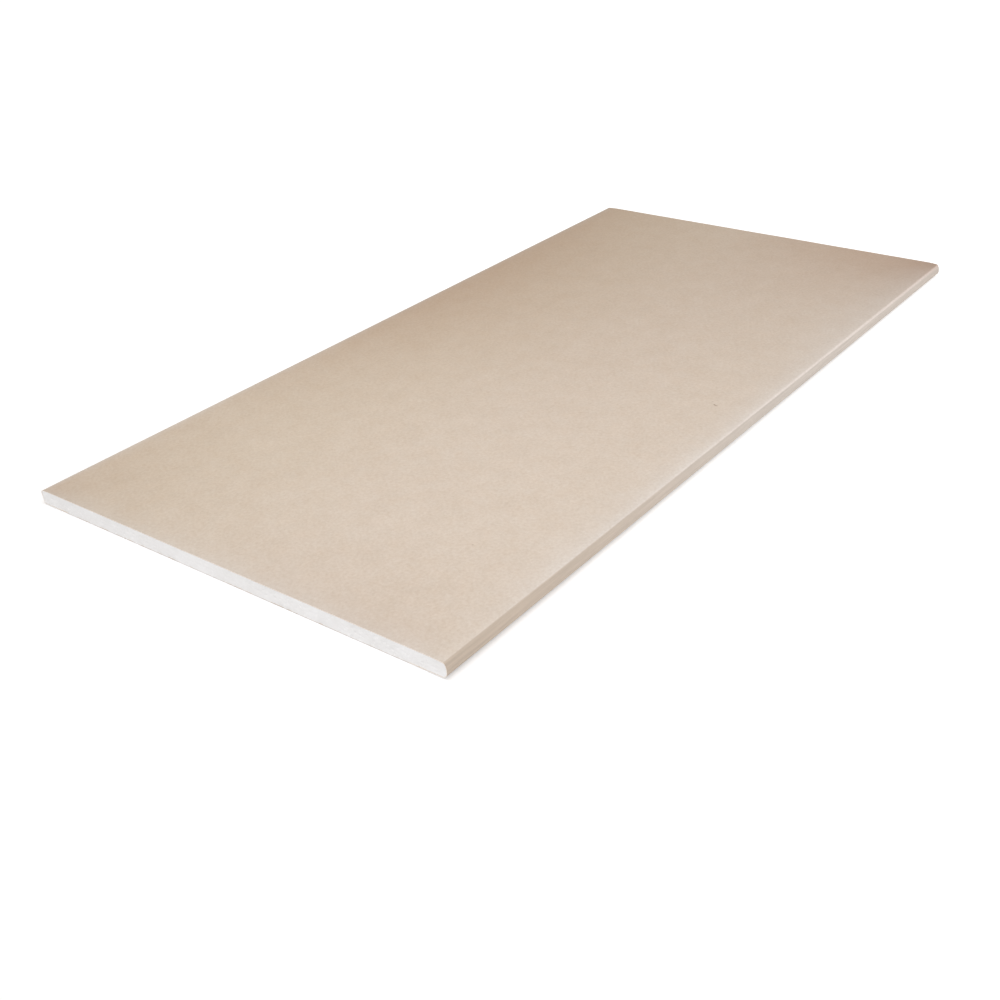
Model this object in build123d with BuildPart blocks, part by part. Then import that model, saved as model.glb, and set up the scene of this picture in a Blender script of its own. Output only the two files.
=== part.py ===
from build123d import *
import os
from math import sqrt

# Overall size of the sheet
board_width = 400.0
board_length = 800.0
board_thickness = 12.5

# Papers: the face paper folds round both long edges, the back paper covers its laps
face_paper_thickness = 0.45
back_paper_thickness = 0.4
lap_width = 30.0
seam_inset = 15.0

# Formed long edges: the face falls away a little, then an arris, a bulged side and a rolled toe
ease_width = 14.0
ease_drop = 0.7
arris_radius = 2.0
right_nose_height = 5.2
right_bulge_radius = 13.0
right_toe_radius = 4.6
left_nose_height = 8.4
left_bulge_radius = 20.0
left_toe_radius = 1.2

# Places worked out from those sizes
half_width = board_width / 2
half_length = board_length / 2
arris_height = board_thickness - ease_drop
lap_plane = back_paper_thickness


def edge_points(side, nose_height, bulge_radius):
    """Where the flat face ends, the arris, the nose and the toe of the long edge on one side."""

    def bulge_point(height):
        tuck = bulge_radius - sqrt(bulge_radius**2 - (height - nose_height) ** 2)
        return side * (half_width - tuck), height

    face_end = (side * (half_width - ease_width), board_thickness)
    return face_end, bulge_point(arris_height), bulge_point(nose_height), bulge_point(lap_plane)


right_edge = edge_points(1, right_nose_height, right_bulge_radius)
left_edge = edge_points(-1, left_nose_height, left_bulge_radius)

# Wrapped block: all that lies within the face paper's outer side, which that paper and the core share
with BuildPart() as wrapped_block:
    with BuildSketch(Plane.XZ) as section:
        with BuildLine():
            for face_end, arris, nose, toe in (right_edge, left_edge):
                outwards = (arris[0] - face_end[0], 0)
                TangentArc(face_end, arris, tangent=outwards)
                ThreePointArc(arris, nose, toe)
            Line(left_edge[0], right_edge[0])
            Line(left_edge[-1], right_edge[-1])
        make_face()
        for edge, toe_radius in ((right_edge, right_toe_radius), (left_edge, left_toe_radius)):
            arris, toe = edge[1], edge[3]
            fillet(section.vertices().sort_by_distance(arris)[0], arris_radius)
            fillet(section.vertices().sort_by_distance(toe)[0], toe_radius)
    extrude(amount=half_length, both=True)

# Face paper: a skin round the block, cut off at both ends and open below between its two laps
with BuildPart() as face_paper:
    add(wrapped_block.part)
    offset(amount=-face_paper_thickness, openings=face_paper.faces().filter_by(Axis.Y))
    with BuildSketch(Plane.XZ):
        with Locations((0, lap_plane)):
            Rectangle(board_width - 2 * lap_width, board_thickness / 2, align=(Align.CENTER, Align.MIN))
    extrude(amount=half_length, both=True, mode=Mode.SUBTRACT)

# Gypsum core: the rest of the block, cast against the paper and round the ends of its laps
with BuildPart() as gypsum_core:
    add(wrapped_block.part)
    add(face_paper.part, mode=Mode.SUBTRACT)

# Back paper: flat under the core and over the laps, with its edges inside the long edges
with BuildPart() as back_paper:
    with BuildSketch(Plane.XZ):
        Rectangle(board_width - 2 * seam_inset, back_paper_thickness, align=(Align.CENTER, Align.MIN))
    extrude(amount=half_length, both=True)

gypsum_core.part.label = "gypsum_core"
face_paper.part.label = "face_paper"
back_paper.part.label = "back_paper"

os.makedirs("parts", exist_ok=True)
export_step(gypsum_core.part, "parts/gypsum_core.step")
export_step(face_paper.part, "parts/face_paper.step")
export_step(back_paper.part, "parts/back_paper.step")
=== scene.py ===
"""A sheet of wallboard lying face up: ivory paper wrapped round a white gypsum core.

Metres throughout. X runs across the sheet, Y along it and Z up out of its face. The
origin is the middle of the underside.
"""

import math

import bpy
import numpy as np
from mathutils import Matrix, Vector


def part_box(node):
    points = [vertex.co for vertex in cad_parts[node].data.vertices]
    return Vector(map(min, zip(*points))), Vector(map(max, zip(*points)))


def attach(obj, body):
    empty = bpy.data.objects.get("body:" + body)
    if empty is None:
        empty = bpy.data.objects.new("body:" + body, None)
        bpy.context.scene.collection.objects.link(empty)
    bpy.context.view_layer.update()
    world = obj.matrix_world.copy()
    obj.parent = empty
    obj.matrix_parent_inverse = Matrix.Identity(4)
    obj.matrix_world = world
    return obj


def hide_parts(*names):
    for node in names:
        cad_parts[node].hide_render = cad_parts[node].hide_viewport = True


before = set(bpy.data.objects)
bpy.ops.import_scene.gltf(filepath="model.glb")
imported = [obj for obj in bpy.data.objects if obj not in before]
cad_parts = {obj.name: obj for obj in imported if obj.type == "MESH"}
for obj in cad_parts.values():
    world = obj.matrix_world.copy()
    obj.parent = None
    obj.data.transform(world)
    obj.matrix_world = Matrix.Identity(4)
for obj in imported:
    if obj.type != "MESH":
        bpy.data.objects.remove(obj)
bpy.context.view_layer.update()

MM = 0.001

# Sizes that the solids give
face_low, face_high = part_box("face_paper")
_, core_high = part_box("gypsum_core")
_, back_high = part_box("back_paper")
HALF_WIDTH = -face_low.x
HALF_LENGTH = face_high.y
THICKNESS = face_high.z
FACE_PAPER = face_high.z - core_high.z
BACK_PAPER = back_high.z
SEAM_X = back_high.x

# Sizes of the formed long edges, as in the solids
LAP_WIDTH = 30 * MM
EASE_WIDTH = 14 * MM
EASE_DROP = 0.7 * MM
ARRIS_RADIUS = 2.0 * MM
LAP_PLANE = BACK_PAPER

# Each long edge: its side, the height of its nose, and the radii of its bulge and its toe
LEFT_EDGE = (-1, 8.4 * MM, 20.0 * MM, 1.2 * MM)
RIGHT_EDGE = (1, 5.2 * MM, 13.0 * MM, 4.6 * MM)

# Steps of the grids: along each arc of an edge (ease, arris, bulge and toe) and across a lap
ARC_STEPS = (10, 8, 12, 8)
LAP_STEPS = 6

# Grid of the face paper: its spacing across and along, and how far in it draws close at the ends
FACE_SPACING_ACROSS = 3.2 * MM
FACE_SPACING_ALONG = 9 * MM
FACE_END_BAND = 10 * MM
FACE_END_ROWS = np.array([0.0, 0.25, 0.6, 1.5, 4.0]) * MM

# Swell of the face: its height, its cells across and along, and where it dies out beside an edge
FACE_SWELL = 0.03 * MM
SWELL_ACROSS = 46 * MM
SWELL_ALONG = 70 * MM
SWELL_STOPS = 2 * MM

# How far down the ease the swell and the marks may lie, in shares of its drop
SWELL_SINKS = 0.9
MARKS_SINK = 0.5

# The nick in the face: its two ends and how it bows, across and along the sheet; its reach and
# depth; how thin its far end is, and where on a half wave its width starts; and the grid round it
NICK_START = np.array([163.6, -4.2]) * MM
NICK_END = np.array([167.2, -5.4]) * MM
NICK_BOW = np.array([-0.2, -0.4]) * MM
NICK_REACH = 0.6 * MM
NICK_DEPTH = 0.24 * MM
NICK_THIN_END = 0.45
NICK_WAVE_START = 0.2
NICK_BAND_ACROSS = 5 * MM
NICK_BAND_ALONG = 5.5 * MM
NICK_SPACING = 0.35 * MM

# The raised lip beside the nick: its place and width in reaches of the nick, and its height in depths
LIP_PLACE = 1.9
LIP_WIDTH = 0.8
LIP_HEIGHT = 0.22

# A dot beside the nick and a speck towards the front end, with their depths in depths of the nick
NICK_DOT = np.array([160.3, -0.4]) * MM
NICK_DOT_DEPTH = 0.5
SPECK = np.array([130.1, -284.4]) * MM
SPECK_DEPTH = 0.6
SPECK_BAND = 1.6 * MM
SPECK_SPACING = 0.4 * MM

# Waver of the face paper's cut ends, and of the back paper's seams: heights and lengths of the waves
CUT_WAVES = ((0.10 * MM, 9 * MM), (0.05 * MM, 3.3 * MM))
SEAM_WAVES = ((0.35 * MM, 60 * MM), (0.12 * MM, 9 * MM))

# Back paper: columns and spacing of its grid, the easing of its seams, and how far in they wander
BACK_COLUMNS = 31
BACK_SPACING = 4 * MM
SEAM_EASE = 0.12 * MM
SEAM_BAND = 20 * MM

# Grid of a sawn end of the core: its spacing across, its rows, and how close it draws at the edges
SAWN_SPACING = 0.5 * MM
SAWN_ROWS = 25
SAWN_EDGE_BAND = 3 * MM
SAWN_EDGE_MIDDLE = 1.4 * MM
SAWN_EDGE_REACH = 1.3 * MM
SAWN_EDGE_SPACING = 0.26 * MM
REBATE_STEP = 0.01 * MM

# Relief of a sawn end: heights of its saw waves, lumps and grain, with their cells across and up
SAWN_WAVES = (
    (0.05 * MM, 18 * MM, 6 * MM),
    (0.06 * MM, 2.4 * MM, 1.8 * MM),
    (0.05 * MM, 1.0 * MM, 0.9 * MM),
)

# Bubbles in a sawn end: how many, the heights they lie between, their radii, and depth in radii
BUBBLE_COUNT = 420
BUBBLE_HEIGHTS = (1 * MM, 11.5 * MM)
BUBBLE_RADII = (0.35 * MM, 0.75 * MM)
BUBBLE_DEPTH = 0.55

# Crumbled rims of a sawn end: how far they fall back, and where, by a line of these waves
RIM_FALL = 0.30 * MM
RIM_WAVES = ((1.0, 7 * MM), (0.6, 2.2 * MM))
RIM_LEVELS = (-0.1, 1.2)
LOWER_RIM_REACH = 1.3 * MM
UPPER_RIM_REACH = 1.0 * MM

# Where the photograph's camera stood
CAMERA_PLACE = Vector((622.54, -872.08, 486.73)) * MM
CAMERA_AZIMUTH = math.radians(38.43)
CAMERA_PITCH = math.radians(29.85)
CAMERA_ROLL = math.radians(3.10)
SENSOR_WIDTH = 36.0
LENS = 46.997

# Light and floor
LAMP_WHITE = (1.0, 0.99, 1.04)
AMBIENT_WHITE = (1.0, 0.99, 0.96, 1.0)
PURE_WHITE = (1.0, 1.0, 1.0, 1.0)
AMBIENT_STRENGTH = 0.56
FLOOR_HALF = 8.0

rng = np.random.default_rng(7)


# Shapes


def soft_step(x, low, high):
    """Rises from 0 at low to 1 at high along 3t^2 - 2t^3, where t is x's share of the way."""
    t = np.clip((x - low) / (high - low), 0, 1)
    return t * t * (3 - 2 * t)


def fading(distance, strength, reach):
    """Falls from strength with distance, as strength times exp(-distance / reach)."""
    return strength * np.exp(-distance / reach)


def rolling(x, y, cell_x, cell_y):
    """Smooth bumps from -1 to 1: random heights on a lattice of cells, blended by soft steps."""
    u = (x - x.min()) / cell_x
    v = (y - y.min()) / cell_y
    heights = rng.uniform(-1, 1, (int(u.max()) + 2, int(v.max()) + 2))
    i, j = u.astype(int), v.astype(int)
    s, t = soft_step(u - i, 0, 1), soft_step(v - j, 0, 1)
    low = heights[i, j] * (1 - s) + heights[i + 1, j] * s
    high = heights[i, j + 1] * (1 - s) + heights[i + 1, j + 1] * s
    return low * (1 - t) + high * t


def wavering(places, waves):
    """A random line over places: the sum of rolling waves, each a height times bumps of a length."""
    level = np.zeros_like(places)
    return sum(height * rolling(places, level, length, 1.0) for height, length in waves)


def spaced(length, spacing):
    """Even places from -length to length, about spacing apart."""
    return np.linspace(-length, length, round(2 * length / spacing) + 1)


def near(middle, reach, spacing):
    """Even places within reach of a middle, about spacing apart."""
    return middle + spaced(reach, spacing)


def merged(*places):
    """All the places in order and each once, to a tenth of a micrometre."""
    return np.unique(np.round(np.concatenate(places), 7))


def edge_arcs(nose_height, bulge_radius, toe_radius):
    """The four tangent arcs of a long edge as (centre, radius, first angle, last angle).

    From the flat face: the ease starts level and falls by EASE_DROP to where it meets the
    bulge; the arris arc's centre lies one radius inside both; the bulge has its nose at
    HALF_WIDTH; the toe's centre lies one radius inside the bulge and above the lap.
    """
    bulge = np.array([HALF_WIDTH - bulge_radius, nose_height])
    rise = THICKNESS - EASE_DROP - nose_height
    run = bulge[0] + math.sqrt(bulge_radius**2 - rise**2) - (HALF_WIDTH - EASE_WIDTH)
    ease_radius = (run**2 + EASE_DROP**2) / (2 * EASE_DROP)
    ease = np.array([HALF_WIDTH - EASE_WIDTH, THICKNESS - ease_radius])

    # The arris centre is where two circles meet: along their line of centres, then square to it
    reach_ease, reach_bulge = ease_radius - ARRIS_RADIUS, bulge_radius - ARRIS_RADIUS
    apart = math.dist(ease, bulge)
    along = (reach_ease**2 - reach_bulge**2 + apart**2) / (2 * apart)
    way = (bulge - ease) / apart
    square = np.array([way[1], -way[0]]) * (1 if way[1] > 0 else -1)
    arris = ease + along * way + math.sqrt(reach_ease**2 - along**2) * square

    toe_height = LAP_PLANE + toe_radius
    toe_run = math.sqrt((bulge_radius - toe_radius) ** 2 - (toe_height - nose_height) ** 2)
    toe = np.array([bulge[0] + toe_run, toe_height])

    top = math.atan2(*(arris - ease)[::-1])
    side = math.atan2(*(arris - bulge)[::-1])
    foot = math.atan2(*(toe - bulge)[::-1])
    return (
        (ease, ease_radius, math.pi / 2, top),
        (arris, ARRIS_RADIUS, top, side),
        (bulge, bulge_radius, side, foot),
        (toe, toe_radius, foot, -math.pi / 2),
    )


def edge_lines(edge, inset):
    """Points along the four arcs of a long edge, drawn inset further in.

    Each point is the arc's centre plus radius less inset along the angle.
    """
    side, *sizes = edge
    lines = []
    for (centre, radius, first, last), steps in zip(edge_arcs(*sizes), ARC_STEPS):
        angle = np.linspace(first, last, steps + 1)
        ring = centre + (radius - inset) * np.stack([np.cos(angle), np.sin(angle)], 1)
        lines.append(ring * [side, 1])
    return lines


def paper_outline(inset, crown_x):
    """Section from the left lap's end round the left edge, over the face and on to the right lap's end.

    The crown is level at THICKNESS less inset, the edges are their arcs and the laps are
    level again, inset above the lap plane.
    """
    crown = np.stack([crown_x, np.full(len(crown_x), THICKNESS - inset)], 1)
    share = np.linspace(0, 1, LAP_STEPS + 1)[1:, None]
    sides = []
    for edge in (LEFT_EDGE, RIGHT_EDGE):
        arcs = np.concatenate([line[1:] for line in edge_lines(edge, inset)])
        lap_end = np.array([edge[0] * (HALF_WIDTH - LAP_WIDTH), LAP_PLANE + inset])
        sides.append(np.concatenate([arcs, arcs[-1] * (1 - share) + lap_end * share]))
    return np.concatenate([sides[0][::-1], crown, sides[1]])


def swept_ring(ring_count, station_count):
    """Faces of a closed ring of points carried along Y: each joins its next point and next ring."""
    ring = np.arange(ring_count)
    step = np.arange(station_count - 1)[:, None] * ring_count
    here, there = step + ring, step + np.roll(ring, -1)
    return np.stack([here, there, there + ring_count, here + ring_count], -1).reshape(-1, 4)


def new_piece(name, points, faces, node, materials, smooth_angle=40):
    """Puts arrays of points and four-cornered faces into a mesh that stands for a CAD node."""
    mesh = bpy.data.meshes.new(name)
    mesh.from_pydata(points.reshape(-1, 3).tolist(), [], faces.tolist())
    mesh.validate()
    mesh.shade_smooth()
    mesh.set_sharp_from_angle(angle=math.radians(smooth_angle))
    for material in materials:
        mesh.materials.append(material)
    piece = bpy.data.objects.new(name, mesh)
    bpy.context.scene.collection.objects.link(piece)
    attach(piece, "root")
    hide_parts(node)
    return piece


def give_attribute(piece, name, kind, values):
    """Stores one value or vector a point, for the materials to read."""
    field = "vector" if kind == "FLOAT_VECTOR" else "value"
    attribute = piece.data.attributes.new(name, kind, "POINT")
    attribute.data.foreach_set(field, np.ascontiguousarray(values, np.float32).ravel())


def nick_distance(x, y):
    """Distance from the nick's line and the share t along it.

    The line is a bowed curve, start + t(end - start) + 4t(1 - t)bow.
    """
    along = NICK_END - NICK_START
    run = (x - NICK_START[0]) * along[0] + (y - NICK_START[1]) * along[1]
    t = np.clip(run / (along @ along), 0, 1)
    bow = 4 * t * (1 - t)
    near_x = NICK_START[0] + t * along[0] + bow * NICK_BOW[0]
    near_y = NICK_START[1] + t * along[1] + bow * NICK_BOW[1]
    return np.hypot(x - near_x, y - near_y), t


def marks(x, y):
    """How deep the nick, its dot and the speck go, and how far the nick's lip stands, from 0 to 1.

    Each is exp(-(d / reach)^2), where d is the distance from its line or middle. The nick's
    reach tapers along it by a sine, and the lip's line runs beside the nick.
    """
    distance, share = nick_distance(x, y)
    swelling = np.sin(np.pi * (NICK_WAVE_START + (1 - NICK_WAVE_START) * share))
    taper = NICK_THIN_END + (1 - NICK_THIN_END) * swelling
    groove = np.exp(-((distance / (NICK_REACH * taper)) ** 2))
    for middle, depth in ((NICK_DOT, NICK_DOT_DEPTH), (SPECK, SPECK_DEPTH)):
        away = np.hypot(x - middle[0], y - middle[1])
        groove += depth * np.exp(-((away / NICK_REACH) ** 2))
    lip = np.exp(-(((distance - LIP_PLACE * NICK_REACH) / (LIP_WIDTH * NICK_REACH)) ** 2))
    return groove, lip


def browning_and_shade(x, y):
    """How far the face is drawn browner and darker, from 0 to 1: most by the left edge and the far
    right corner. It is partly paper turned brown by light and partly painted shade, where the lamps
    light the face less.

    Each part fades with distance, and soft steps along the sheet swell or thin it.
    """
    from_left, from_right = HALF_WIDTH + x, HALF_WIDTH - x
    from_front, from_far = HALF_LENGTH + y, HALF_LENGTH - y
    swell = 0.33 + 0.75 * soft_step(y, -280 * MM, 110 * MM) - 0.2 * soft_step(y, 150 * MM, 400 * MM)
    left = fading(from_left, 0.36, 151 * MM) * swell
    # Painted shade along the left rim, where the face falls away from the lamps
    rim = fading(from_left, 0.05, 8 * MM)
    front = fading(from_front, 0.095, 45 * MM) * soft_step(x, -40 * MM, 150 * MM)
    front *= soft_step(from_right, 0, 45 * MM)
    front_corner = fading(np.hypot(from_left, from_front), 0.14, 60 * MM)
    far = fading(from_far, 0.10, 60 * MM) * soft_step(x, -45 * MM, 45 * MM)
    far *= soft_step(from_right, 0, 100 * MM)
    from_corner = np.hypot(from_right, from_far)
    corner = fading(from_corner, 0.54, 104 * MM) + fading(from_corner, 0.14, 25 * MM)
    return left + rim + front + front_corner + far + corner


def dusting_and_sheen(past_right, past_left, y):
    """How far the face is greyed and paled, from 0 to 1, beside the long arrises and the front end: by
    plaster where it is dusty, and beside the right arris also by a painted sheen.

    Each part fades with distance; beside the right arris it is weakest at the front end, and
    reaches furthest in at the far end.
    """
    strength = 0.14 + 0.22 * soft_step(y, -380 * MM, -250 * MM) - 0.06 * soft_step(y, 0, 300 * MM)
    reach = 12 * MM + 20 * MM * soft_step(y, 0, 300 * MM)
    # Beside the right arris the paling is a painted sheen
    beside_right = fading(np.maximum(-past_right, 0), strength, reach)
    beside_left = fading(np.maximum(-past_left, 0), 0.45, 4 * MM)
    beside_front = fading(HALF_LENGTH + y, 0.22, 12 * MM)
    return np.maximum(np.maximum(beside_right, beside_left), beside_front)


def wrapped_face_paper(materials):
    """The face paper: outline and inset outline joined into a ring and carried along Y.

    The face swells by a few hundredths of a millimetre, the cut ends waver, and the marks are
    grooves, the nick's with a low lip beside it.
    """
    nick_x, nick_y = (NICK_DOT + NICK_END) / 2
    crown_x = merged(
        spaced(HALF_WIDTH - EASE_WIDTH, FACE_SPACING_ACROSS),
        near(nick_x, NICK_BAND_ACROSS, NICK_SPACING),
        near(SPECK[0], SPECK_BAND, SPECK_SPACING),
    )
    outer = paper_outline(0, crown_x)
    inner = paper_outline(FACE_PAPER, crown_x)
    end_rows = HALF_LENGTH - FACE_END_ROWS
    along = merged(
        end_rows,
        -end_rows,
        spaced(HALF_LENGTH - FACE_END_BAND, FACE_SPACING_ALONG),
        near(nick_y, NICK_BAND_ALONG, NICK_SPACING),
        near(SPECK[1], SPECK_BAND, SPECK_SPACING),
    )

    # Places across the unrolled paper, from the middle of the face
    across = np.concatenate([[0], np.cumsum(np.hypot(*np.diff(outer, axis=0).T))])
    between_laps = slice(LAP_STEPS, -LAP_STEPS)
    across -= np.interp(0, outer[between_laps, 0], across[between_laps])

    count, stations = len(outer), len(along)
    ring = np.concatenate([outer, inner[::-1]])
    points = np.zeros((stations, 2 * count, 3))
    points[..., 0], points[..., 2] = ring[:, 0], ring[:, 1]
    points[..., 1] = along[:, None]

    # Swell of the face, let down towards the edges, and the marks in it
    x, y = points[:, :count, 0], points[:, :count, 1]
    above_arris = outer[:, 1] > THICKNESS - EASE_DROP * SWELL_SINKS
    from_edge = HALF_WIDTH - SWELL_STOPS - np.abs(outer[:, 0])
    let_down = above_arris * soft_step(from_edge, 0, EASE_WIDTH)
    points[:, :count, 2] += FACE_SWELL * rolling(x, y, SWELL_ACROSS, SWELL_ALONG) * let_down
    on_crown = outer[:, 1] > THICKNESS - EASE_DROP * MARKS_SINK
    groove, lip = (mark * on_crown for mark in marks(x, y))
    points[:, :count, 2] += NICK_DEPTH * (-groove + LIP_HEIGHT * lip)

    # Cut ends that waver
    waver = wavering(across, CUT_WAVES)
    both = np.concatenate([waver, waver[::-1]])
    points[0, :, 1] += both
    points[-1, :, 1] -= both[::-1]

    wall = swept_ring(2 * count, stations)
    j = np.arange(count - 1)
    front = np.stack([j, 2 * count - 1 - j, 2 * count - 2 - j, j + 1], -1)
    back = front[:, ::-1] + (stations - 1) * 2 * count
    faces = np.concatenate([wall, front, back])
    piece = new_piece("face_paper_wrapped", points, faces, "face_paper", materials)

    # Faces of the cut: both ends and the ends of the laps take the second material
    in_ring = np.arange(len(faces)) % (2 * count)
    is_cut = (in_ring == count - 1) | (in_ring == 2 * count - 1)
    is_cut[len(wall):] = True
    piece.data.polygons.foreach_set("material_index", is_cut.astype(np.int32))

    # For the material: the place on the unrolled paper; how much browner and darker it is drawn, partly
    # as painted shade; how grey and pale, partly as a painted sheen; and how dark its marks are drawn
    rings = points.shape[:2]
    both_across = np.concatenate([across, across[::-1]])
    unrolled = np.stack([np.broadcast_to(both_across, rings), points[..., 1], np.zeros(rings)], -1)
    give_attribute(piece, "unrolled", "FLOAT_VECTOR", unrolled)
    to_arris = LAP_STEPS + ARC_STEPS[3] + ARC_STEPS[2] + ARC_STEPS[1] // 2
    past_right = both_across - across[count - 1 - to_arris]
    past_left = across[to_arris] - both_across
    past_arris = np.broadcast_to(np.maximum(past_right, past_left), rings)
    give_attribute(piece, "past_arris", "FLOAT", past_arris)
    give_attribute(piece, "browning_and_shade", "FLOAT", browning_and_shade(points[..., 0], points[..., 1]))
    give_attribute(piece, "dust_and_sheen", "FLOAT", dusting_and_sheen(past_right, past_left, points[..., 1]))
    marks_darkening = np.zeros(rings)
    marks_darkening[:, :count] = groove
    give_attribute(piece, "nick_darkening", "FLOAT", marks_darkening)


def core_height(x, upper):
    """Height of the core's upper or lower outline at a place across it.

    Above: the inset face and edges. Below: the lap plane between the laps, one paper higher
    over them, then the inset toes.
    """
    left = edge_lines(LEFT_EDGE, FACE_PAPER)
    right = edge_lines(RIGHT_EDGE, FACE_PAPER)
    if upper:
        line = np.concatenate([left[1][::-1], left[0][::-1], right[0], right[1]])
        return np.interp(x, *line.T)
    line = np.concatenate([left[3], right[3][::-1]])
    rebate = HALF_WIDTH - LAP_WIDTH
    return np.where(np.abs(x) < rebate, LAP_PLANE, np.interp(x, *line.T))


def end_patch():
    """Places across and up over an end of the core, as a patch between its four outlines.

    lower(1 - v) + upper v + left(1 - u) + right u, less the same blend of the four corners.
    """
    left_bulge = edge_lines(LEFT_EDGE, FACE_PAPER)[2]
    right_bulge = edge_lines(RIGHT_EDGE, FACE_PAPER)[2]
    rebate = HALF_WIDTH - LAP_WIDTH
    edge_middle = HALF_WIDTH - SAWN_EDGE_MIDDLE
    columns = merged(
        spaced(HALF_WIDTH - SAWN_EDGE_BAND, SAWN_SPACING),
        near(-rebate, REBATE_STEP, 2 * REBATE_STEP),
        near(rebate, REBATE_STEP, 2 * REBATE_STEP),
        HALF_WIDTH * np.array([-1.0, 1.0]),
        near(edge_middle, SAWN_EDGE_REACH, SAWN_EDGE_SPACING),
        near(-edge_middle, SAWN_EDGE_REACH, SAWN_EDGE_SPACING),
    )
    u = (columns / HALF_WIDTH + 1) / 2
    v = np.linspace(0, 1, SAWN_ROWS)

    rows = []
    for end, upper in ((-1, False), (0, True)):
        first, last = left_bulge[end], right_bulge[end]
        x = first[0] + u * (last[0] - first[0])
        z = core_height(x, upper)
        z[0], z[-1] = first[1], last[1]
        rows.append(np.stack([x, z], 1)[:, None])
    lower, upper = rows
    sides = []
    for bulge in (left_bulge, right_bulge):
        share = np.linspace(0, 1, len(bulge))
        sides.append(np.stack([np.interp(v, share, bulge[::-1, k]) for k in (0, 1)], 1))
    left, right = sides

    u, v = u[:, None, None], v[None, :, None]
    patch = lower * (1 - v) + upper * v + left * (1 - u) + right * u
    patch -= (lower[0] * (1 - u) + lower[-1] * u) * (1 - v)
    patch -= (upper[0] * (1 - u) + upper[-1] * u) * v
    return patch[..., 0], patch[..., 1]


def sawn_relief(x, z):
    """How far each point of an end lies behind the cut: saw waves, grain, bubbles and crumbled rims.

    Bubbles are pits of depth exp(-(d / r)^2); the rims fall back where a slow random line says.
    """
    depth = np.zeros_like(x)
    for height, cell_x, cell_z in SAWN_WAVES:
        depth += height * (1 + rolling(x, z, cell_x, cell_z))
    bubble_x = rng.uniform(-HALF_WIDTH, HALF_WIDTH, BUBBLE_COUNT)
    bubble_z = rng.uniform(*BUBBLE_HEIGHTS, BUBBLE_COUNT)
    radii = rng.uniform(*BUBBLE_RADII, BUBBLE_COUNT)
    for middle_x, middle_z, radius in zip(bubble_x, bubble_z, radii):
        square = (x - middle_x) ** 2 + (z - middle_z) ** 2
        depth += BUBBLE_DEPTH * radius * np.exp(-square / radius**2)
    for row, reach in ((0, LOWER_RIM_REACH), (-1, UPPER_RIM_REACH)):
        fall = RIM_FALL * soft_step(wavering(x[:, :1], RIM_WAVES), *RIM_LEVELS)
        depth += fall * np.exp(-((z - z[:, [row]]) / reach) ** 2)
    return depth


def sawn_gypsum_core(materials):
    """The core: a patch at each end, pushed in along Y by its relief, and the long hidden sides."""
    x, z = end_patch()
    points = np.stack([
        np.stack([x, -HALF_LENGTH + sawn_relief(x, z), z], -1),
        np.stack([x, HALF_LENGTH - sawn_relief(x, z), z], -1),
    ])
    index = np.arange(x.size).reshape(x.shape)
    front = np.stack([index[:-1, :-1], index[1:, :-1], index[1:, 1:], index[:-1, 1:]], -1)
    front = front.reshape(-1, 4)
    back = front[:, ::-1] + x.size
    rim = np.concatenate([index[:-1, 0], index[-1, :-1], index[:0:-1, -1], index[0, :0:-1]])
    after = np.roll(rim, -1)
    long_sides = np.stack([rim, rim + x.size, after + x.size, after], -1)
    faces = np.concatenate([front, back, long_sides])
    new_piece("gypsum_core_sawn", points, faces, "gypsum_core", materials, smooth_angle=55)


def seamed_back_paper(materials):
    """The back paper: a flat slab with eased rims and slightly wandering seam edges.

    The ring is a flat oblong; its places across are stretched so that each seam edge follows
    a slow random line along Y.
    """
    across = np.linspace(-1, 1, BACK_COLUMNS) * (SEAM_X - SEAM_EASE)
    lower = np.stack([across, np.zeros(BACK_COLUMNS)], 1)
    upper = np.stack([across[::-1], np.full(BACK_COLUMNS, BACK_PAPER)], 1)
    right = np.array([[SEAM_X, SEAM_EASE], [SEAM_X, BACK_PAPER - SEAM_EASE]])
    ring = np.concatenate([lower, right, upper, right[::-1] * [-1, 1]])
    along = spaced(HALF_LENGTH, BACK_SPACING)
    left_wander, right_wander = (wavering(along, SEAM_WAVES)[:, None] for side in range(2))
    by_seam = soft_step(np.abs(ring[:, 0]), SEAM_X - SEAM_BAND, SEAM_X)
    points = np.zeros((len(along), len(ring), 3))
    points[..., 0] = ring[:, 0] + np.where(ring[:, 0] > 0, right_wander, left_wander) * by_seam
    points[..., 1] = along[:, None]
    points[..., 2] = ring[:, 1]

    # Ends: pairs of points across from each other, from one seam to the other
    count = len(ring)
    wall = swept_ring(count, len(along))[:, ::-1]
    low = np.concatenate([[count - 1], np.arange(BACK_COLUMNS + 1)])
    high = np.arange(count - 2, BACK_COLUMNS, -1)
    front = np.stack([low[:-1], low[1:], high[1:], high[:-1]], -1)
    back = front[:, ::-1] + (len(along) - 1) * count
    faces = np.concatenate([wall, front, back])
    piece = new_piece("back_paper_seamed", points, faces, "back_paper", materials)
    is_cut = np.arange(len(faces)) >= len(wall)
    piece.data.polygons.foreach_set("material_index", is_cut.astype(np.int32))


# Materials


def linear(hex_colour):
    """An sRGB hex colour as linear red, green, blue and alpha."""
    srgb = np.array([int(hex_colour[i:i + 2], 16) for i in (1, 3, 5)]) / 255
    return (*np.where(srgb <= 0.04045, srgb / 12.92, ((srgb + 0.055) / 1.055) ** 2.4), 1.0)


def add(tree, kind, inputs=None, **settings):
    """Adds a node with its settings; inputs gives each socket a value, or an earlier output to link."""
    node = tree.nodes.new(kind)
    for name, value in settings.items():
        setattr(node, name, value)
    for socket, value in (inputs or {}).items():
        if isinstance(value, bpy.types.NodeSocket):
            tree.links.new(value, node.inputs[socket])
        else:
            node.inputs[socket].default_value = value
    return node


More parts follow.
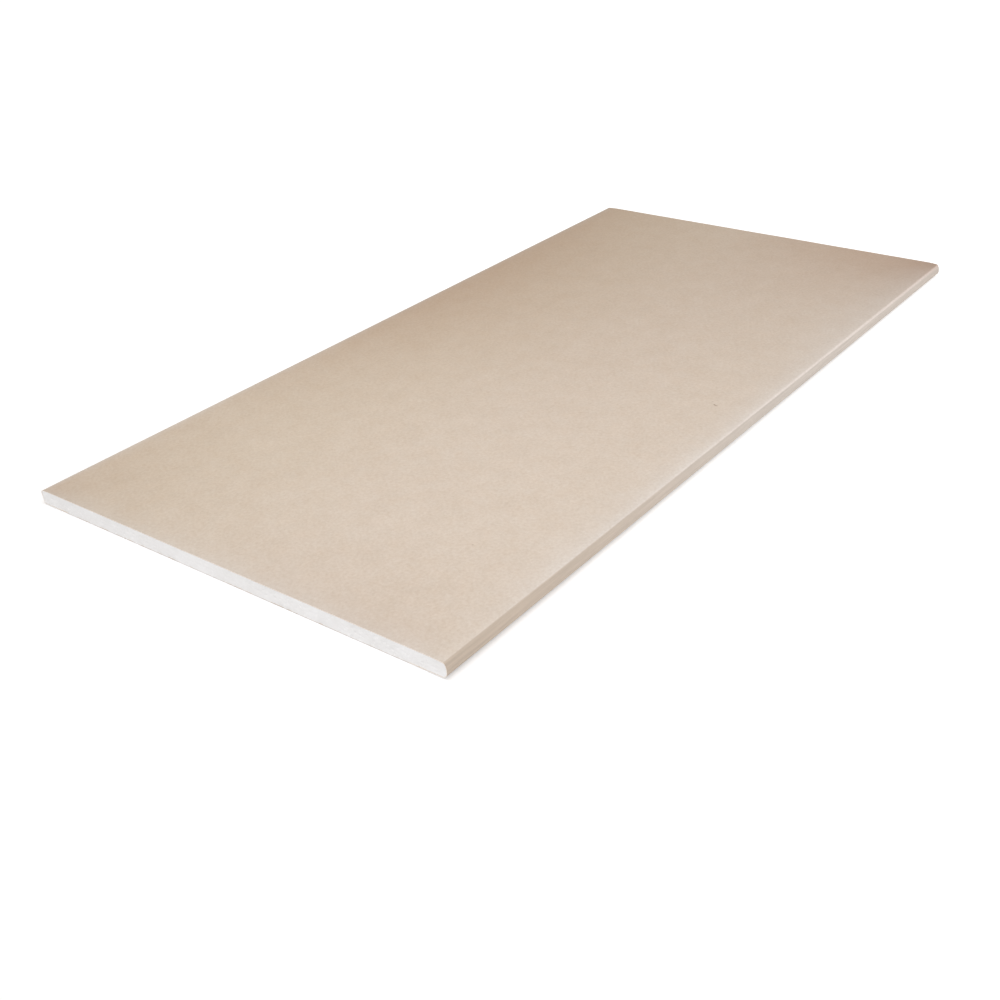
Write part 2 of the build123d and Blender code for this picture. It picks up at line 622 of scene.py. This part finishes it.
def new_material(name):
    """An empty material and its node tree."""
    material = bpy.data.materials.new(name)
    material.use_nodes = True
    material.node_tree.nodes.clear()
    return material, material.node_tree


# Sockets of a Mix node of colours: its factor, its first and second colour, and its result
FACTOR, FIRST, SECOND, RESULT = 0, 6, 7, 2


def bare_sheet(tree, roll):
    """The new paper's colour, between two ivories, and the tone that chooses between them.

    The tone is a share each of clouds, streaks along the roll and fibres; its hue drifts a
    little from warm to cool.
    """
    # Sizes across and along the roll. Fibres of 0.3 mm would not show, so they are drawn as flecks
    # of about 2 mm. Every pattern is turned out of line with the noise's own lattice, which would
    # show as a weave
    patterns = {}
    for name, across, along, roughness, offset in (
        ("clouds", 20 * MM, 24 * MM, 0.6, (0.0, 0.0, 0.0)),
        ("streaks", 4 * MM, 26 * MM, 0.5, (0.0, 0.0, 0.0)),
        ("fibres", 2.2 * MM, 2.4 * MM, 0.6, (0.0, 0.0, 0.0)),
        ("hues", 12 * MM, 12 * MM, 0.6, (3.0, 7.0, 5.0)),
    ):
        laid = add(tree, "ShaderNodeMapping", {
            "Vector": roll, "Location": offset,
            "Rotation": (0.6, 0.5, 0.4), "Scale": (1 / across, 1 / along, 1.0),
        })
        noise = add(tree, "ShaderNodeTexNoise", {
            "Vector": laid.outputs["Vector"], "Scale": 1.0, "Detail": 2.0, "Roughness": roughness,
        })
        patterns[name] = noise.outputs["Fac"]
    tone = 0.0
    for name, share in (("clouds", 0.28), ("streaks", 0.07), ("fibres", 0.65)):
        shares = {0: patterns[name], 1: share, 2: tone}
        tone = add(tree, "ShaderNodeMath", shares, operation="MULTIPLY_ADD").outputs[0]
    ivory = add(tree, "ShaderNodeMix", {
        FACTOR: tone, FIRST: linear("#C9B49E"), SECOND: linear("#ECE0D4"),
    }, data_type="RGBA")
    hue = add(tree, "ShaderNodeMix", {
        FACTOR: patterns["hues"], FIRST: linear("#FFFEFB"), SECOND: linear("#FBFEFF"),
    }, data_type="RGBA")
    sheet = add(tree, "ShaderNodeMix", {
        FACTOR: 1.0, FIRST: ivory.outputs[RESULT], SECOND: hue.outputs[RESULT],
    }, data_type="RGBA", blend_type="MULTIPLY")
    return sheet.outputs[RESULT], tone


def aged_and_shaded_sheet(tree, sheet, across):
    """The sheet as light and plaster have left it, with painted shade and a painted sheen.

    It is yellowed a little over its left half. It is browner and darker towards the left edge and the
    far right corner, partly where light turned it brown and partly as painted shade. It is greyer
    beside the arrises and the front end where plaster left it dusty, and paler there, which beside the
    right arris is a painted sheen.
    """
    yellowing = add(tree, "ShaderNodeMapRange", {
        "Value": across, "From Min": -160 * MM, "From Max": 80 * MM, "To Min": 1.0, "To Max": 0.0,
    }, interpolation_type="SMOOTHSTEP")
    yellowed = add(tree, "ShaderNodeMix", {
        FACTOR: yellowing.outputs["Result"], FIRST: sheet, SECOND: linear("#FFFFFB"),
    }, data_type="RGBA", blend_type="MULTIPLY")
    # Brown tone with painted shade: browner and darker towards the left edge and the far right corner
    brown_and_shade = add(tree, "ShaderNodeAttribute", attribute_name="browning_and_shade")
    browned_and_shaded = add(tree, "ShaderNodeMix", {
        FACTOR: brown_and_shade.outputs["Fac"], FIRST: yellowed.outputs[RESULT], SECOND: linear("#9A6121"),
    }, data_type="RGBA")
    # Greyer where the face is dusty, and paler beside the right arris by a painted sheen
    dust_and_sheen = add(tree, "ShaderNodeAttribute", attribute_name="dust_and_sheen").outputs["Fac"]
    colour_left = add(tree, "ShaderNodeMath", {0: 1.0, 1: dust_and_sheen}, operation="SUBTRACT")
    sheen_paling = add(tree, "ShaderNodeMath", {0: dust_and_sheen, 1: 0.1, 2: 1.0}, operation="MULTIPLY_ADD")
    dusted_and_sheened = add(tree, "ShaderNodeHueSaturation", {
        "Color": browned_and_shaded.outputs[RESULT],
        "Saturation": colour_left.outputs[0], "Value": sheen_paling.outputs[0],
    })
    return dusted_and_sheened.outputs["Color"]


def scored_edges_with_painted_light(tree, sheet, roll, along):
    """The sheet with its long edges drawn darker than the face as painted shade, most just under the
    arris and least towards the toe, where painted light pales them, and scored along their length.

    Away from the front end the side is greyer, and a painted highlight pales its arris along a line
    that drifts across it.
    """
    past = add(tree, "ShaderNodeAttribute", attribute_name="past_arris").outputs["Fac"]
    drift = add(tree, "ShaderNodeMapRange", {
        "Value": along, "From Min": -HALF_LENGTH, "From Max": HALF_LENGTH,
        "To Min": -1.9 * MM, "To Max": 1.3 * MM,
    })
    from_line = add(tree, "ShaderNodeMath", {
        0: past, 1: drift.outputs["Result"],
    }, operation="SUBTRACT").outputs[0]

    # How dark the side is drawn: by height, as painted shade just under the arris and painted light
    # towards the toe, and by scores 1.6 mm apart that run 60 mm
    upper = add(tree, "ShaderNodeMapRange", {
        "Value": past, "From Min": 0.5 * MM, "From Max": 3.5 * MM, "To Min": 0.87, "To Max": 1.0,
    }, interpolation_type="SMOOTHSTEP")
    lower = add(tree, "ShaderNodeMapRange", {
        "Value": past, "From Min": 5.5 * MM, "From Max": 10 * MM, "To Min": 1.0, "To Max": 1.2,
    }, interpolation_type="SMOOTHSTEP")
    painted_side_light = add(tree, "ShaderNodeMath", {
        0: upper.outputs["Result"], 1: lower.outputs["Result"],
    }, operation="MULTIPLY")
    laid = add(tree, "ShaderNodeMapping", {
        "Vector": roll, "Scale": (1 / (1.6 * MM), 1 / (60 * MM), 1.0),
    })
    scores = add(tree, "ShaderNodeTexNoise", {
        "Vector": laid.outputs["Vector"], "Scale": 1.0, "Detail": 2.0, "Roughness": 0.6,
    })
    scored = add(tree, "ShaderNodeMapRange", {
        "Value": scores.outputs["Fac"], "From Min": 0.25, "From Max": 0.75,
        "To Min": 0.88, "To Max": 1.08,
    })
    marked = add(tree, "ShaderNodeMath", {
        0: painted_side_light.outputs[0], 1: scored.outputs["Result"],
    }, operation="MULTIPLY")

    # The side in a darker copy of the paper as painted shade, greyer away from the front end
    edge_toned = add(tree, "ShaderNodeMapRange", {
        "Value": along, "From Min": -340 * MM, "From Max": 80 * MM,
    }, interpolation_type="SMOOTHSTEP")
    shaded_side_tone = add(tree, "ShaderNodeMix", {
        FACTOR: edge_toned.outputs["Result"], FIRST: linear("#CDBCA9"), SECOND: linear("#CEC4B8"),
    }, data_type="RGBA")
    side_with_painted_light = add(tree, "ShaderNodeMix", {
        FACTOR: 1.0, FIRST: shaded_side_tone.outputs[RESULT], SECOND: marked.outputs[0],
    }, data_type="RGBA", blend_type="MULTIPLY")
    on_side = add(tree, "ShaderNodeMapRange", {
        "Value": from_line, "From Min": 0.3 * MM, "From Max": 1.7 * MM, "To Max": 0.85,
    }, interpolation_type="SMOOTHSTEP")
    side = add(tree, "ShaderNodeMix", {
        FACTOR: on_side.outputs["Result"], FIRST: sheet, SECOND: side_with_painted_light.outputs[RESULT],
    }, data_type="RGBA")

    # A painted highlight along the arris
    off_line = add(tree, "ShaderNodeMath", {0: from_line}, operation="ABSOLUTE")
    arris = add(tree, "ShaderNodeMapRange", {
        "Value": off_line.outputs[0], "From Min": 0.2 * MM, "From Max": 2.0 * MM,
        "To Min": 1.0, "To Max": 0.0,
    }, interpolation_type="SMOOTHSTEP")
    highlight_strength = add(tree, "ShaderNodeMapRange", {
        "Value": along, "From Min": -260 * MM, "From Max": HALF_LENGTH, "To Min": 0.0, "To Max": 0.34,
    }, interpolation_type="SMOOTHSTEP")
    highlight_amount = add(tree, "ShaderNodeMath", {
        0: arris.outputs["Result"], 1: highlight_strength.outputs["Result"],
    }, operation="MULTIPLY")
    highlighted_arris = add(tree, "ShaderNodeMix", {
        FACTOR: highlight_amount.outputs[0], FIRST: side.outputs[RESULT], SECOND: linear("#F2E9E2"),
    }, data_type="RGBA")
    return highlighted_arris.outputs[RESULT]


def ivory_lining_paper():
    """Machine-made lining paper, pressed smooth: matt and ivory, and cloudy where fibres lie thicker.

    It is faintly streaked along the roll. It is browner and darker towards the left edge and the far
    right corner, partly where light turned it brown in storage and partly as painted shade. It is
    greyer where it is dusty and paler beside the right arris by a painted sheen. Its long edges are
    drawn darker as painted shade, with painted light towards the toe and a painted highlight along the
    arris.
    """
    material, tree = new_material("ivory_lining_paper_calendered")
    roll = add(tree, "ShaderNodeAttribute", attribute_name="unrolled").outputs["Vector"]
    place = add(tree, "ShaderNodeSeparateXYZ", {"Vector": roll})
    sheet, tone = bare_sheet(tree, roll)
    aged_and_shaded = aged_and_shaded_sheet(tree, sheet, place.outputs["X"])
    edge_toned = scored_edges_with_painted_light(tree, aged_and_shaded, roll, place.outputs["Y"])
    # The nick, its dot and the speck are drawn darker where they are deepest
    nick = add(tree, "ShaderNodeAttribute", attribute_name="nick_darkening")
    marks_darkened = add(tree, "ShaderNodeMix", {
        FACTOR: nick.outputs["Fac"], FIRST: edge_toned, SECOND: linear("#9C8570"),
    }, data_type="RGBA")
    bump = add(tree, "ShaderNodeBump", {"Height": tone, "Strength": 0.5, "Distance": 0.06 * MM})
    shader = add(tree, "ShaderNodeBsdfPrincipled", {
        "Base Color": marks_darkened.outputs[RESULT], "Roughness": 0.78, "IOR": 1.5,
        "Specular IOR Level": 0.25, "Normal": bump.outputs["Normal"],
    })
    add(tree, "ShaderNodeOutputMaterial", {"Surface": shader.outputs["BSDF"]})
    return material


def cut_paper(name, dark, pale):
    """Paper cut through with a knife: pale layers of fibre, rougher than the face.

    Its fibres are drawn at 1 mm, coarser than real ones, so that they show.
    """
    material, tree = new_material(name)
    place = add(tree, "ShaderNodeTexCoord").outputs["Object"]
    fibres = add(tree, "ShaderNodeTexNoise", {
        "Vector": place, "Scale": 1 / (1.0 * MM), "Detail": 2.0,
    })
    tint = add(tree, "ShaderNodeMix", {
        FACTOR: fibres.outputs["Fac"], FIRST: linear(dark), SECOND: linear(pale),
    }, data_type="RGBA")
    shader = add(tree, "ShaderNodeBsdfPrincipled", {
        "Base Color": tint.outputs[RESULT], "Roughness": 0.9, "IOR": 1.5, "Specular IOR Level": 0.2,
    })
    add(tree, "ShaderNodeOutputMaterial", {"Surface": shader.outputs["BSDF"]})
    return material


def sawn_gypsum():
    """Set gypsum plaster sawn across: dead matt, near white, with fine grey pores and softer patches.

    Pores of 0.1 to 0.3 mm would not show, so the grain is drawn at about 1 mm.
    """
    material, tree = new_material("gypsum_plaster_sawn")
    place = add(tree, "ShaderNodeTexCoord").outputs["Object"]
    patches = add(tree, "ShaderNodeTexNoise", {
        "Vector": place, "Scale": 1 / (14 * MM), "Detail": 3.0,
    })
    grain = add(tree, "ShaderNodeTexNoise", {
        "Vector": place, "Scale": 1 / (0.9 * MM), "Detail": 3.0, "Roughness": 0.65,
    })
    tone = add(tree, "ShaderNodeMath", {
        0: grain.outputs["Fac"], 1: 0.5, 2: patches.outputs["Fac"],
    }, operation="MULTIPLY_ADD")
    tint = add(tree, "ShaderNodeMix", {
        FACTOR: tone.outputs[0], FIRST: linear("#EAE8E4"), SECOND: linear("#F9F8F6"),
    }, data_type="RGBA")
    bump = add(tree, "ShaderNodeBump", {
        "Height": grain.outputs["Fac"], "Strength": 0.6, "Distance": 0.12 * MM,
    })
    shader = add(tree, "ShaderNodeBsdfPrincipled", {
        "Base Color": tint.outputs[RESULT], "Roughness": 0.95, "IOR": 1.52,
        "Specular IOR Level": 0.15, "Normal": bump.outputs["Normal"],
    })
    add(tree, "ShaderNodeOutputMaterial", {"Surface": shader.outputs["BSDF"]})
    return material


def grey_liner():
    """Recycled liner paper: matt greyish brown with short darker and paler fibres along the roll.

    Its fibres are drawn at 0.8 by 3 mm, coarser than real ones, so that they show.
    """
    material, tree = new_material("recycled_liner_paper")
    place = add(tree, "ShaderNodeTexCoord").outputs["Object"]
    clouds = add(tree, "ShaderNodeTexNoise", {
        "Vector": place, "Scale": 1 / (20 * MM), "Detail": 3.0,
    })
    laid = add(tree, "ShaderNodeMapping", {
        "Vector": place, "Scale": (1 / (0.8 * MM), 1 / (3.0 * MM), 1.0),
    })
    fibres = add(tree, "ShaderNodeTexNoise", {
        "Vector": laid.outputs["Vector"], "Scale": 1.0, "Detail": 3.0, "Roughness": 0.6,
    })
    tone = add(tree, "ShaderNodeMath", {
        0: fibres.outputs["Fac"], 1: 0.6, 2: clouds.outputs["Fac"],
    }, operation="MULTIPLY_ADD")
    tint = add(tree, "ShaderNodeMix", {
        FACTOR: tone.outputs[0], FIRST: linear("#B09B83"), SECOND: linear("#CDBBA5"),
    }, data_type="RGBA")
    bump = add(tree, "ShaderNodeBump", {
        "Height": fibres.outputs["Fac"], "Strength": 0.5, "Distance": 0.06 * MM,
    })
    shader = add(tree, "ShaderNodeBsdfPrincipled", {
        "Base Color": tint.outputs[RESULT], "Roughness": 0.85, "IOR": 1.5,
        "Specular IOR Level": 0.25, "Normal": bump.outputs["Normal"],
    })
    add(tree, "ShaderNodeOutputMaterial", {"Surface": shader.outputs["BSDF"]})
    return material


# The sheet
face_cut = cut_paper("lining_paper_knife_cut", "#F3E8DA", "#FCF6EE")
back_cut = cut_paper("liner_paper_knife_cut", "#D7D6D6", "#E5E4E4")
wrapped_face_paper([ivory_lining_paper(), face_cut])
sawn_gypsum_core([sawn_gypsum()])
seamed_back_paper([grey_liner(), back_cut])


# Camera
back_way = Vector((
    math.sin(CAMERA_AZIMUTH) * math.cos(CAMERA_PITCH),
    -math.cos(CAMERA_AZIMUTH) * math.cos(CAMERA_PITCH),
    math.sin(CAMERA_PITCH),
))
level_right = Vector((math.cos(CAMERA_AZIMUTH), math.sin(CAMERA_AZIMUTH), 0))
level_up = back_way.cross(level_right)
image_right = math.cos(CAMERA_ROLL) * level_right - math.sin(CAMERA_ROLL) * level_up
image_up = math.sin(CAMERA_ROLL) * level_right + math.cos(CAMERA_ROLL) * level_up
camera_data = bpy.data.cameras.new("camera")
camera_data.sensor_width = SENSOR_WIDTH
camera_data.lens = LENS
camera = bpy.data.objects.new("camera", camera_data)
axes = Matrix((image_right, image_up, back_way)).transposed()
camera.matrix_world = Matrix.Translation(CAMERA_PLACE) @ axes.to_4x4()
bpy.context.scene.collection.objects.link(camera)
bpy.context.scene.camera = camera


# Light


def soft_lamp(name, place, target, size, watts):
    """An oblong area lamp at a place, facing a target."""
    lamp = bpy.data.lights.new(name, "AREA")
    lamp.shape = "RECTANGLE"
    lamp.size, lamp.size_y = size
    lamp.energy, lamp.color = watts, LAMP_WHITE
    holder = bpy.data.objects.new(name, lamp)
    holder.location = place
    holder.rotation_euler = (Vector(target) - Vector(place)).to_track_quat("-Z", "Y").to_euler()
    bpy.context.scene.collection.objects.link(holder)


def seen_directly(tree):
    """1 on a ray from the camera, a gloss or a glass, and 0 on one that only brings light."""
    paths = add(tree, "ShaderNodeLightPath")
    seen = paths.outputs["Is Camera Ray"]
    for ray in ("Is Glossy Ray", "Is Transmission Ray"):
        either = {0: seen, 1: paths.outputs[ray]}
        seen = add(tree, "ShaderNodeMath", either, operation="MAXIMUM").outputs[0]
    return seen


soft_lamp("overhead_lamp", (0.1, -0.35, 0.79), (0.26, 0.4, 0), size=(0.6, 0.6), watts=2.88)
soft_lamp("low_front_lamp", (0.08, -1.5, 0.16), (0, -0.4, 0), size=(1.2, 0.3), watts=6.0)
soft_lamp("low_right_lamp", (1.3, 0.2, 0.18), (0.2, 0.0, 0), size=(0.8, 0.3), watts=5.3)
soft_lamp("low_back_lamp", (0.75, 1.7, 0.2), (0, 0.4, 0), size=(0.8, 0.3), watts=6.0)
soft_lamp("low_far_lamp", (-0.25, 1.7, 0.035), (-0.05, 0.4, 0), size=(0.8, 0.06), watts=5.5)
soft_lamp("low_left_lamp", (-1.5, 0.1, 0.035), (-0.2, 0, 0), size=(1.0, 0.06), watts=8.0)

world = bpy.data.worlds.new("studio")
bpy.context.scene.world = world
world.use_nodes = True
tree = world.node_tree
tree.nodes.clear()
ambient = add(tree, "ShaderNodeBackground", {"Color": AMBIENT_WHITE, "Strength": AMBIENT_STRENGTH})
white = add(tree, "ShaderNodeBackground", {"Color": PURE_WHITE, "Strength": 1.0})
sky = add(tree, "ShaderNodeMixShader", {
    0: seen_directly(tree), 1: ambient.outputs[0], 2: white.outputs[0],
})
add(tree, "ShaderNodeOutputWorld", {"Surface": sky.outputs[0]})


# Floor: matt, with a glow where it is seen that whitens it, most where the front lamp lights it least
floor_mesh = bpy.data.meshes.new("floor")
floor_corners = FLOOR_HALF * np.array([[-1, -1, 0], [1, -1, 0], [1, 1, 0], [-1, 1, 0]])
floor_mesh.from_pydata(floor_corners.tolist(), [], [(0, 1, 2, 3)])
floor = bpy.data.objects.new("floor", floor_mesh)
bpy.context.scene.collection.objects.link(floor)
floor_finish, tree = new_material("white_floor")
floor_mesh.materials.append(floor_finish)
seen = seen_directly(tree)
place = add(tree, "ShaderNodeTexCoord").outputs["Object"]
away = add(tree, "ShaderNodeVectorMath", {0: place, 1: (0.1, -0.8, 0.0)}, operation="DISTANCE")
whitening = add(tree, "ShaderNodeMapRange", {
    "Value": away.outputs["Value"], "From Min": 0.2, "From Max": 1.5, "To Min": 0.32, "To Max": 0.62,
}, interpolation_type="SMOOTHSTEP")
along = add(tree, "ShaderNodeSeparateXYZ", {"Vector": place}).outputs["Y"]
behind_lamp = add(tree, "ShaderNodeMapRange", {
    "Value": along, "From Min": -1.48, "From Max": -1.4, "To Min": 0.62, "To Max": 0.0,
})
whitest = add(tree, "ShaderNodeMath", {
    0: whitening.outputs["Result"], 1: behind_lamp.outputs["Result"],
}, operation="MAXIMUM")
strength = add(tree, "ShaderNodeMath", {0: seen, 1: whitest.outputs[0]}, operation="MULTIPLY")
glow = add(tree, "ShaderNodeEmission", {"Color": PURE_WHITE, "Strength": strength.outputs[0]})
shade = add(tree, "ShaderNodeMapRange", {"Value": seen, "To Min": 0.4, "To Max": 0.8})
matt = add(tree, "ShaderNodeBsdfDiffuse", {"Color": shade.outputs["Result"]})
mixed = add(tree, "ShaderNodeAddShader", {0: matt.outputs[0], 1: glow.outputs[0]})
add(tree, "ShaderNodeOutputMaterial", {"Surface": mixed.outputs[0]})

bpy.context.scene.view_settings.view_transform = "Standard"
